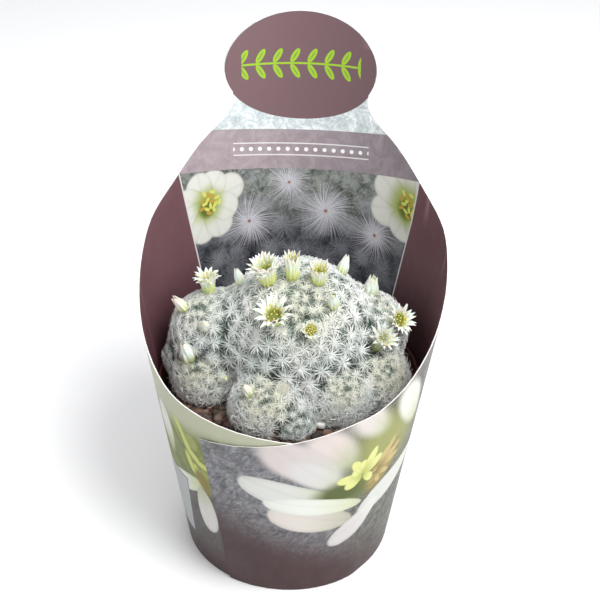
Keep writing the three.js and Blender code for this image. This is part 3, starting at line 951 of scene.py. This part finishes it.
def leftPrint(tree, sheet):
    # the sheet beside the flap: green and yellow above, a pale petal, and a plain label
    s, z = sheet["s"], sheet["z"]
    fade = furPrint(tree, sheet, hue(60, 56, 55), hue(90, 86, 84), 6.0, 13.0)
    colour = tinted(tree, ramp(tree, z, 4, 24), mauveFoot(tree, sheet), fade)
    green = furPrint(tree, sheet, hue(90, 100, 42), hue(140, 147, 72), 16.0, 29.0)
    colour = tinted(tree, ramp(tree, z, 46, 58), colour, green)
    colour = tinted(tree, ramp(tree, z, 80, 93), colour, hue(172, 174, 150))
    white = hue(208, 210, 203)
    petals = (
        ((-58, 60), (-66, 92), 16, hue(160, 166, 116), white, 0.3),
        ((-34, 56), (-64, 44), 13, hue(180, 186, 140), white, 0.14),
        ((-38, 54), (-33, 25), 13, hue(172, 176, 150), hue(194, 192, 188), 0.1),
    )
    colour = petalPrints(tree, colour, sheet, petals, 0.82)
    threads = (
        (-48, 84, 118, 8.0), (-44, 76, 120, 7.5), (-39.5, 71, 135, 6.5),
        (-43, 66, 112, 8.0), (-38, 62, 118, 6.5), (-35, 68, 160, 5.5),
    )
    for x, y, lie, long in threads:
        colour = tinted(tree, blot(tree, sheet, (x, y), lie, (long, 2.0), 0.4), colour, hue(180, 187, 96))
    colour = tinted(tree, blot(tree, sheet, (-36, 58), 115, (9, 4.2), 0.5), colour, hue(120, 108, 42))
    border = times(tree, between(tree, s, -70, -47.5), between(tree, z, 15, 52))
    label = times(tree, between(tree, s, -69.3, -48.2), between(tree, z, 15.7, 51.3))
    colour = tinted(tree, border, colour, hue(70, 72, 78))
    colour = tinted(tree, label, colour, hue(160, 163, 163))
    return towardsBack(tree, sheet, colour)


def plainEdge(tree, sheet):
    return furPrint(tree, sheet, hue(224, 221, 218), hue(242, 240, 238), 1.5, 3.0)


def cardMaterial(name, side, draw):
    # side: 0 inside, 1 and -1 the outside to the right and the left
    material, tree, shader = newMaterial(name)
    printed = draw(tree, sheetPlace(tree, side))
    place = objectPlace(tree)
    rough = grain(tree, place, 60, 3.0)
    coat(tree, shader, printed, scaled(tree, rough, 0.16, 0.36))
    shader.inputs["Specular IOR Level"].default_value = 0.35
    bumpFrom(tree, shader, grain(tree, place, 1400, 3.0), 0.00002, 0.5)
    return material


def sheetAngle(point):
    # degrees from the back as the sheet runs, and the radius there in mm
    x, y, z = point / mm
    radius = math.hypot(x, y)
    angle = math.degrees(math.atan2(x, y))
    proud = radius - card["footRadius"] - card["taper"] * z
    lapStart = 360 + card["tuckedEnd"]
    onFlap = proud > card["lapStep"]
    if angle < card["flapEnd"] - 360 + card["lapSlack"] and onFlap:
        angle += 360
    elif angle > lapStart - card["lapSlack"] and not onFlap:
        angle -= 360
    return angle, radius


def relaxed(vertex):
    # the card is no true cone: its flap's end slants and its right side leans out
    angle, radius = sheetAngle(vertex.co)
    height = vertex.co.z / mm
    late = max(0.0, 1 - (card["flapEnd"] - angle) / card["slantReach"])
    angle += card["slant"] * late * late * height / 100
    turn = math.radians(angle)
    lean = card["lean"] * (min(height, card["leanTop"]) - card["leanLevel"])
    lean *= max(0.0, 1 - max(0.0, height - card["leanTop"]) / card["leanFade"])
    x = radius * math.sin(turn) + lean * max(0.0, math.sin(turn)) ** 2
    vertex.co = (x * mm, radius * math.cos(turn) * mm, vertex.co.z)
    return angle, radius


def buildSleeve():
    piece = mergedCopy("sleeve", "card_sleeve")
    # cut across at many heights, so that the lean and the print follow the card evenly
    top = cadBox[1][2]
    for step in range(1, card["cuts"]):
        level = top * step / card["cuts"]
        editMesh(piece, lambda: bpy.ops.mesh.bisect(plane_co=(0, 0, level), plane_no=(0, 0, 1)))
    mesh = piece.data
    laid = [relaxed(vertex) for vertex in mesh.vertices]
    across = mesh.attributes.new("across", "FLOAT", "POINT")
    across.data.foreach_set("value", [math.radians(angle) * radius for angle, radius in laid])
    up = mesh.attributes.new("up", "FLOAT", "POINT")
    up.data.foreach_set("value", [vertex.co.z / mm for vertex in mesh.vertices])
    flat = mesh.uv_layers.new(name="sheet")
    for loop in mesh.loops:
        place = across.data[loop.vertex_index].value, up.data[loop.vertex_index].value
        flat.data[loop.index].uv = place
    smooth(piece, 35)
    hand(piece, "sleeve", cardMaterial("cardInside", 0, insidePrint))
    others = (("cardFront", 1, frontPrint), ("cardLeft", -1, leftPrint), ("cardEdge", 0, plainEdge))
    for name, side, draw in others:
        mesh.materials.append(cardMaterial(name, side, draw))
    for face in mesh.polygons:
        radial = Vector((face.center.x, face.center.y, 0)).normalized()
        outward = face.normal.dot(radial)
        angles = [laid[i][0] for i in face.vertices]
        if outward < -card["facing"]:
            face.material_index = 0
        elif outward > card["facing"]:
            face.material_index = 1 if sum(angles) > 0 else 2
        else:
            face.material_index = 3
    print("sleeve printed")


# pot, soil and roots

pot = {
    "bevel": 0.25,
    "colour": hue(62, 30, 28),
    "worn": hue(94, 52, 47),
}


def potMaterial():
    # moulded brown-red plastic: faint turning lines, dust and scuffs
    material, tree, shader = newMaterial("potPlastic")
    place = objectPlace(tree)
    dust = grain(tree, place, 45, 5.0)
    fine = grain(tree, place, 700, 3.0)
    rings = grain(tree, vectorCalc(tree, "MULTIPLY", place, (6, 6, 900)), 1.0, 2.0)
    base = tinted(tree, ramp(tree, dust, 0.45, 0.75), pot["colour"], pot["worn"])
    coat(tree, shader, base, calc(tree, "ADD", 0.34, times(tree, dust, 0.3)))
    relief = calc(tree, "ADD", times(tree, rings, 0.6), times(tree, fine, 0.4))
    bumpFrom(tree, shader, relief, 0.00012, 0.5)
    return material


def soilMaterial(name, dark, pale):
    material, tree, shader = newMaterial(name)
    place = objectPlace(tree)
    crumbs = grain(tree, place, 260, 6.0, 0.7)
    bits = grain(tree, place, 900, 2.0)
    coat(tree, shader, tinted(tree, ramp(tree, crumbs, 0.35, 0.7), dark, pale), 0.92)
    bumpFrom(tree, shader, calc(tree, "ADD", crumbs, times(tree, bits, 0.4)), 0.0012, 0.9)
    return material


def refinish(node, material):
    # a CAD node whose shape stays gets a better material
    mesh = nodes[node].data
    mesh.materials.clear()
    mesh.materials.append(material)


def buildPot():
    piece = mergedCopy("pot", "plastic_pot")
    bevel = piece.modifiers.new("softEdges", "BEVEL")
    bevel.width = pot["bevel"] * mm
    bevel.segments = 2
    bevel.limit_method = "ANGLE"
    bevel.angle_limit = math.radians(35)
    applyModifiers(piece)
    smooth(piece, 30)
    hand(piece, "pot", potMaterial())
    refinish("soil", soilMaterial("pottingSoil", hue(30, 22, 18), hue(74, 56, 44)))
    refinish("roots", soilMaterial("rootBark", hue(122, 98, 70), hue(188, 164, 128)))
    print("pot, soil and roots finished")


# gravel and the perlite grain

gravel = {
    "kinds": 5,
    "smallest": 2.6,
    "largest": 4.9,
    "spacing": 3.2,
    "layers": (0.25, 0.72),  # heights of the two layers, as shares of the topping
    "bareMiddle": 0.56,  # no stones under the clump, inside this share of the radius
    "wallGap": 0.9,
    "buried": 2.5,  # stones this deep inside a stem are left out
    "shake": 0.5,
    "widths": (0.7, 0.95),  # of a stone, as shares of its length
    "height": 0.74,
    "roundness": 0.85,
    "unevenness": 0.13,
    "tones": (
        hue(112, 84, 70), hue(90, 64, 55), hue(70, 56, 48),
        hue(52, 45, 41), hue(118, 100, 88), hue(80, 68, 61),
    ),
    "pebbleBearing": 19,  # one big pinkish pebble beside the smallest front stem
    "pebbleOut": 47,
    "pebbleSunk": 1.2,
    "pebbleSize": (8.6, 6.4, 6.0),
    "pebbleTone": hue(168, 134, 122),
    "perliteSize": 1.12,  # over the CAD grain's width, because rounding shrinks it
}


def stoneMaster(squash, seed):
    # a cube made round, pushed out of shape and smoothed; 1 across until it is laid
    deselectAll()
    bpy.ops.mesh.primitive_cube_add(size=1)
    stone = justAdded("stone")
    editMesh(
        stone,
        lambda: bpy.ops.mesh.subdivide(number_cuts=2),
        lambda: bpy.ops.transform.tosphere(value=gravel["roundness"]),
        lambda: bpy.ops.transform.vertex_random(offset=gravel["unevenness"], seed=seed),
        lambda: bpy.ops.mesh.vertices_smooth(factor=0.35, repeat=1),
    )
    stone.data.transform(Matrix.Diagonal((1.0, squash, gravel["height"], 1)))
    smooth(stone, 75)
    return stone


def stoneMaterial():
    # each stone has its own tone in the "tone" attribute: brown-pink, grey or dark
    material, tree, shader = newMaterial("gravelStone")
    place = objectPlace(tree)
    speck = grain(tree, place, 1300, 4.0, 0.7)
    cloud = grain(tree, place, 300, 3.0)
    lit = calc(tree, "ADD", 0.62, times(tree, calc(tree, "ADD", speck, cloud), 0.4))
    tone = attributeOf(tree, "tone", "Color")
    coat(tree, shader, vectorCalc(tree, "MULTIPLY", tone, vectorOf(tree, lit, lit, lit)), 0.82)
    bumpFrom(tree, shader, calc(tree, "ADD", speck, cloud), 0.0003, 0.7)
    return material


def buildGravel():
    low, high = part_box("gravel_topping")
    reach = high[0] - gravel["wallGap"] * mm
    shake = gravel["shake"] * mm
    masters = [stoneMaster(rng.uniform(*gravel["widths"]), 11 + k) for k in range(gravel["kinds"])]
    laid = []
    for layer in gravel["layers"]:
        count = int(math.pi * reach * reach / (gravel["spacing"] * mm) ** 2)
        for i in range(count):
            size = rng.uniform(gravel["smallest"], gravel["largest"]) * mm
            out = reach * math.sqrt((i + 0.5) / count) + shake * rng.uniform(-1, 1)
            turn = i * goldenTurn + 1.3 * layer + 0.05 * rng.uniform(-1, 1)
            out = min(out, reach - size / 2)
            height = low[2] + (high[2] - low[2]) * layer + shake * rng.uniform(-1, 1)
            point = Vector((out * math.sin(turn), -out * math.cos(turn), height))
            deep = gravel["buried"] * mm
            buried = any((point - centre).length < radius - deep for centre, radius in balls.values())
            if out < gravel["bareMiddle"] * reach or buried:
                continue
            spin = Matrix.Rotation(rng.uniform(0, 6.28), 4, "Z")
            tilt = Matrix.Rotation(rng.uniform(-0.5, 0.5), 4, "X")
            lie = Matrix.Translation(point) @ (spin @ tilt) @ Matrix.Scale(size, 4)
            stone = copyOf(rng.choice(masters), lie)
            stain(stone, "tone", *rng.choice(gravel["tones"]))
            laid.append(stone)
    bearing, far = math.radians(gravel["pebbleBearing"]), gravel["pebbleOut"] * mm
    level = high[2] - gravel["pebbleSunk"] * mm
    seat = Matrix.Translation((far * math.sin(bearing), -far * math.cos(bearing), level))
    shape = Matrix.Diagonal([length * mm for length in gravel["pebbleSize"]] + [1])
    pebble = copyOf(masters[0], seat @ Matrix.Rotation(0.3, 4, "Z") @ shape)
    stain(pebble, "tone", *gravel["pebbleTone"])
    laid.append(pebble)
    heap = joined(laid, "gravel_stones")
    hand(heap, "gravel_topping", stoneMaterial())

    low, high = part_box("perlite_grain")
    centre = (Vector(low) + Vector(high)) / 2
    width = gravel["perliteSize"] * (high[0] - low[0])
    perlite = copyOf(masters[2], Matrix.Translation(centre) @ Matrix.Scale(width, 4))
    perlite.name = "perlite_bead"
    swell = perlite.modifiers.new("round", "SUBSURF")
    swell.levels = swell.render_levels = 2
    applyModifiers(perlite)
    material, tree, shader = newMaterial("perlite")
    puff = grain(tree, objectPlace(tree), 1500, 4.0)
    coat(tree, shader, tinted(tree, puff, hue(222, 220, 212), hue(250, 248, 244)), 0.85)
    bumpFrom(tree, shader, puff, 0.0004, 0.8)
    hand(perlite, "perlite_grain", material)
    for master in masters:
        discard(master)
    print("gravel:", len(laid), "stones")


# flowers and buds

flowerLooks = {
    # which way each faces (bearing, elevation), how wide it opens, how much its tips curl, its petals, the
    # width of its cup, its rows of petals if not two and, off its CAD solid, how far it is moved in mm
    1: {"faces": (-60, 84), "open": 1.15, "curl": 0.8, "petals": 10, "cup": 0.54},
    2: {"faces": (-50, 76), "open": 1.2, "curl": 0.6, "petals": 12, "cup": 0.6, "rows": 3,
        "moved": (0, 3, 0.6)},
    3: {"faces": (20, 86), "open": 0.84, "curl": 0.15, "petals": 9, "cup": 0.62, "moved": (0, 3, 0.6)},
    4: {"faces": (30, 76), "open": 0.92, "curl": 0.2, "petals": 9, "cup": 0.6, "moved": (0, 1.6, 0.2)},
    5: {"faces": (-12, 64), "open": 1.25, "curl": 0.4, "petals": 10, "cup": 0.47, "moved": (0, 2, 1.4)},
    6: {"faces": (54, 56), "open": 1.25, "curl": 0.4, "petals": 10, "cup": 0.5},
    7: {"faces": (46, 40), "open": 1.25, "curl": 0.4, "petals": 10, "cup": 0.5},
    8: {"faces": (14, 44), "open": 0.95, "curl": 0.1, "petals": 8, "cup": 0.5, "moved": (0, 0, -1)},
}

flower = {
    # rows from outside in: share of the width reached, of the height, where they start, and how many petals
    "rows": ((1.1, 0.86, 0.1, 1.0), (1.0, 0.97, 0.14, 1.0), (0.78, 1.03, 0.2, 0.8)),
    "reaches": (0.9, 1.08),  # least and most share, and so on
    "heights": (0.92, 1.05),
    "curls": (0.5, 1.3),
    "fullness": 2.2,  # how far the petals of a row overlap
    "widestAt": 0.6,  # of the radius
    "extraWidth": 0.2,
    "hollow": 0.3,  # how much a petal's rims bend in, as a share of its width
    "thickness": 0.16,
    "cupGrowth": 0.17,  # the petals leave the cup this much wider than they start
    "usualCup": 0.47,  # the cup for which the tube has its plain width
    "tubeRadius": 0.33,
    "tubeHeight": 0.2,
    "flares": ((0.2, 1.28), (0.16, 1.1)),  # how much higher and wider the tube gets, twice
    "throatRim": 0.1,
    "throatDepth": 0.14,
}

stamen = {
    "count": 16,
    "lean": 0.4,
    "thread": 0.12,  # radii in mm
    "threadTip": 0.07,
    "bead": 0.36,
    "beadStretch": 1.3,
}

bud = {
    "rows": ((6, 0.86), (6, 1.0), (4, 1.04)),  # petals in each row from outside in, share of the height
    "fullness": 1.9,
    "widestAt": 0.62,
    "thickness": 0.18,
    "coreWidth": 0.78,
    "coreHeight": 0.42,
    "coreLevel": 0.45,
}

budLooks = {
    1: {"faces": (60, 80), "blush": 0.0, "gape": 0.55},
    2: {"faces": (5, 66), "blush": 0.0, "gape": 0.25},
    3: {"faces": (-40, 72), "blush": 0.0, "gape": 0.0},
    4: {"faces": (110, 74), "blush": 0.0, "gape": 0.1},
    5: {"faces": (2, 45), "blush": 0.2, "gape": 0.1},
    6: {"faces": (-70, 55), "blush": 0.9, "gape": 0.3},
    7: {"faces": (40, 40), "blush": 0.0, "gape": 0.35},
    8: {"faces": (-35, 60), "blush": 0.6, "gape": 0.0},
    9: {"faces": (40, 60), "blush": 0.6, "gape": 0.0},
    10: {"faces": (-70, 76), "blush": 0.1, "gape": 0.2},
}


def flowerSeat(node, faces):
    # root, axis, height and radius of a CAD flower or bud
    points = [vertex.co for vertex in nodes[node].data.vertices]
    axis = heading(*faces)
    centre = sum(points, Vector()) / len(points)
    along = [(point - centre).dot(axis) for point in points]
    width = max(((point - centre) - axis * (point - centre).dot(axis)).length for point in points)
    root = centre + axis * min(along)
    return root, axis, max(along) - min(along), width


def petalMaster(width, profile):
    # a grid pulled into a pointed petal; profile(t) gives reach from the axis and height at t
    deselectAll()
    bpy.ops.mesh.primitive_grid_add(x_subdivisions=6, y_subdivisions=2, size=1)
    petal = justAdded("petal")
    mark = petal.data.color_attributes.new("petal", "FLOAT_COLOR", "POINT")
    for i, vertex in enumerate(petal.data.vertices):
        t, side = vertex.co.x + 0.5, 2 * vertex.co.y
        broad = (0.5 + 0.5 * math.sin(math.pi * min(1, t * 0.95))) * (1 - t ** 5.0) + 0.03
        reach, height = profile(t)
        vertex.co = (reach - flower["hollow"] * side * side * width * broad, side * width * broad / 2, height)
        mark.data[i].color = (t, abs(side), 0, 1)
    return petal


def thicken(piece, thickness):
    shell = piece.modifiers.new("body", "SOLIDIFY")
    shell.thickness = thickness
    shell.offset = 0
    applyModifiers(piece)
    return piece


def markRow(piece, share):
    attribute = piece.data.color_attributes["petal"]
    for datum in attribute.data:
        datum.color = (datum.color[0], datum.color[1], share, 1)


def petalMaterial():
    # white at the tip, pale green and yellow at the root with a greener middle line, olive in the throat
    material, tree, shader = newMaterial("petal")
    parts = tree.nodes.new("ShaderNodeSeparateColor")
    feed(tree, attributeOf(tree, "petal", "Color"), parts.inputs["Color"])
    along, across, row = parts.outputs["Red"], parts.outputs["Green"], parts.outputs["Blue"]
    place = objectPlace(tree)
    mottle = grain(tree, place, 700, 3.0)
    veins = vectorOf(tree, times(tree, across, 9.0), times(tree, along, 1.5), row)
    lines = grain(tree, veins, 1.0, 2.0)
    white = tinted(tree, lines, hue(232, 232, 218), hue(250, 250, 245))
    yellow = tinted(tree, mottle, hue(224, 224, 148), hue(238, 238, 180))
    green = tinted(tree, mottle, hue(182, 194, 108), hue(206, 212, 136))
    outer = tinted(tree, ramp(tree, along, 0.0, 0.05), hue(122, 130, 58), green)
    root = tinted(tree, ramp(tree, along, 0.05, 0.3), outer, yellow)
    rise = calc(tree, "ADD", along, times(tree, across, 0.18))
    colour = tinted(tree, ramp(tree, rise, 0.28, 0.66), root, white)
    stripe = times(tree, ramp(tree, across, 0.42, 0.05), ramp(tree, along, 0.95, 0.45))
    colour = tinted(tree, times(tree, stripe, 0.6), colour, hue(204, 208, 134))
    blush = times(tree, row, ramp(tree, along, 0.2, 0.8))
    colour = tinted(tree, times(tree, blush, 0.5), colour, hue(236, 198, 186))
    coat(tree, shader, colour, 0.5)
    shader.inputs["Subsurface Weight"].default_value = 0.3
    shader.inputs["Subsurface Scale"].default_value = 0.0008
    bumpFrom(tree, shader, lines, 0.00008, 0.5)
    return material


def stamenMaterial():
    material, tree, shader = newMaterial("stamen")
    dust = grain(tree, objectPlace(tree), 1600, 3.0)
    thread = tinted(tree, dust, hue(170, 172, 84), hue(200, 200, 112))
    pollen = tinted(tree, dust, hue(226, 206, 78), hue(244, 234, 130))
    coat(tree, shader, tinted(tree, attributeOf(tree, "petal"), thread, pollen), 0.7)
    bumpFrom(tree, shader, dust, 0.0002, 0.7)
    return material


def flowerTube(radius, height):
    # the green cup under the petals, flared at its mouth and closed at both ends
    deselectAll()
    depth = flower["tubeHeight"] * height
    bpy.ops.mesh.primitive_cylinder_add(
        vertices=14, radius=flower["tubeRadius"] * radius, depth=depth, location=(0, 0, depth / 2))
    tube = justAdded("tube")
    settle(tube)
    for share, widen in flower["flares"]:
        move = {"value": (0, 0, share * height)}
        editTop(
            tube,
            lambda: bpy.ops.mesh.extrude_region_move(TRANSFORM_OT_translate=move),
            lambda: bpy.ops.transform.resize(value=(widen, widen, 1)),
        )
    # the throat sinks in and is darker than the outside
    rim, sunk = flower["throatRim"] * radius, flower["throatDepth"] * height
    editTop(tube, lambda: bpy.ops.mesh.inset(thickness=rim, depth=-sunk))
    mark = tube.data.color_attributes.new("petal", "FLOAT_COLOR", "POINT")
    for i, vertex in enumerate(tube.data.vertices):
        throat = vertex.co.z > 0.3 * height and math.hypot(vertex.co.x, vertex.co.y) < 0.4 * radius
        mark.data[i].color = (0.0 if throat else 0.05, 0.5, 0.0, 1.0)
    smooth(tube, 50)
    return tube


def buildFlower(number, petalFinish, stamenFinish):
    look = flowerLooks[number]
    node = "flower_%d_petals" % number
    root, axis, height, radius = flowerSeat(node, look["faces"])
    seat = Matrix.Translation(root + Vector(look.get("moved", (0, 0, 0))) * mm) @ facing(axis)
    parts = [flowerTube(radius * look["cup"] / flower["usualCup"], height)]
    wide = radius * look["open"]
    for k, (out, top, start, share) in enumerate(flower["rows"][:look.get("rows", 2)]):
        count = max(6, round(look["petals"] * share))
        for i in range(count):
            reachOut = wide * out * rng.uniform(*flower["reaches"])
            high = height * top * rng.uniform(*flower["heights"])
            low = height * start
            curl = look["curl"] * rng.uniform(*flower["curls"])

            def profile(t):
                cup = radius * (look["cup"] + flower["cupGrowth"] * t)
                past = max(0.0, reachOut - (look["cup"] + flower["cupGrowth"]) * radius)
                reach = cup + past * t ** (2.0 + 2.2 * curl)
                lift = low + (high - low) * (1.2 * t - 0.2 * t * t) - 0.2 * curl * height * t ** 6
                return reach, lift

            width = flower["fullness"] * math.pi * flower["widestAt"] * radius / count
            petal = petalMaster(width + flower["extraWidth"] * mm, profile)
            turn = Matrix.Rotation(2 * math.pi * (i + 0.5 * k + rng.uniform(-0.15, 0.15)) / count, 4, "Z")
            petal.data.transform(turn)
            parts.append(petal)
    whorl = joined(parts[1:], "whorl")
    thicken(whorl, flower["thickness"] * mm)
    bloom = joined([whorl, parts[0]], "bloom_%d" % number)
    bloom.data.transform(seat)
    smooth(bloom, 50)
    hand(bloom, node, petalFinish)

    hearts = stamens(radius, height, look["open"])
    hearts.name = "stamens_%d" % number
    hearts.data.transform(seat)
    hand(hearts, "flower_%d_stamens" % number, stamenFinish)


def stamens(radius, height, spread):
    # thin threads with a pollen bead each
    parts = []
    count = stamen["count"]
    for i in range(count):
        ring = math.sqrt((i + 0.5) / count)
        lean = stamen["lean"] * ring * spread
        top = height * rng.uniform(0.74, 0.9) * (1 - 0.12 * ring)
        deselectAll()
        bpy.ops.mesh.primitive_cone_add(
            vertices=4, radius1=stamen["thread"] * mm, radius2=stamen["threadTip"] * mm,
            depth=top * 0.5, location=(0, 0, top * 0.75))
        thread = justAdded("thread")
        settle(thread)
        stain(thread, "petal", 0.0, 0.0, 0.0)
        width = stamen["bead"] * mm
        bpy.ops.mesh.primitive_ico_sphere_add(subdivisions=1, radius=width, location=(0, 0, top))
        bead = justAdded("bead")
        settle(bead)
        stretch = stamen["beadStretch"]
        back = Matrix.Translation((0, 0, (1 - stretch) * top))
        bead.data.transform(back @ Matrix.Diagonal((1, 1, stretch, 1)))
        stain(bead, "petal", 1.0, 1.0, 1.0)
        stalk = joined([thread, bead], "stalk")
        stalk.data.transform(Matrix.Rotation(i * goldenTurn, 4, "Z") @ Matrix.Rotation(lean, 4, "Y"))
        parts.append(stalk)
    return joined(parts, "stamens")


def buildBud(number, petalFinish):
    look = budLooks[number]
    node = "bud_%d" % number
    root, axis, height, radius = flowerSeat(node, look["faces"])
    parts = []
    for k, (count, top) in enumerate(bud["rows"]):
        for i in range(count):
            high = height * top * rng.uniform(0.94, 1.04)
            gape = look["gape"] * radius * rng.uniform(0.5, 1.1) * (1 - 0.25 * k)

            def profile(t):
                belly = radius * (1 - 0.12 * k) * math.sin(math.pi * (0.18 + 0.76 * t)) ** 0.8
                return belly + gape * t ** 4, high * (0.04 + 0.96 * t)

            petal = petalMaster(bud["fullness"] * radius * math.pi * bud["widestAt"] / count, profile)
            petal.data.transform(Matrix.Rotation(2 * math.pi * (i + 0.5 * k) / count, 4, "Z"))
            parts.append(petal)
    shell = joined(parts, "scales")
    markRow(shell, look["blush"])
    thicken(shell, bud["thickness"] * mm)
    deselectAll()
    bpy.ops.mesh.primitive_uv_sphere_add(segments=12, ring_count=8, radius=1, location=(0, 0, 0))
    core = justAdded("core")
    wide, tall = bud["coreWidth"] * radius, bud["coreHeight"] * height
    lift = Matrix.Translation((0, 0, bud["coreLevel"] * height))
    core.data.transform(lift @ Matrix.Diagonal((wide, wide, tall, 1)))
    stain(core, "petal", 0.3, 0.5, look["blush"])
    piece = joined([shell, core], "closed_bud_%d" % number)
    piece.data.transform(Matrix.Translation(root) @ facing(axis))
    smooth(piece, 50)
    hand(piece, node, petalFinish)


def buildFlowers():
    petalFinish, stamenFinish = petalMaterial(), stamenMaterial()
    for number in flowerLooks:
        buildFlower(number, petalFinish, stamenFinish)
    for number in budLooks:
        buildBud(number, petalFinish)
    print("flowers:", len(flowerLooks), "open and", len(budLooks), "closed")


buildClump()
buildSleeve()
buildPot()
buildGravel()
buildFlowers()
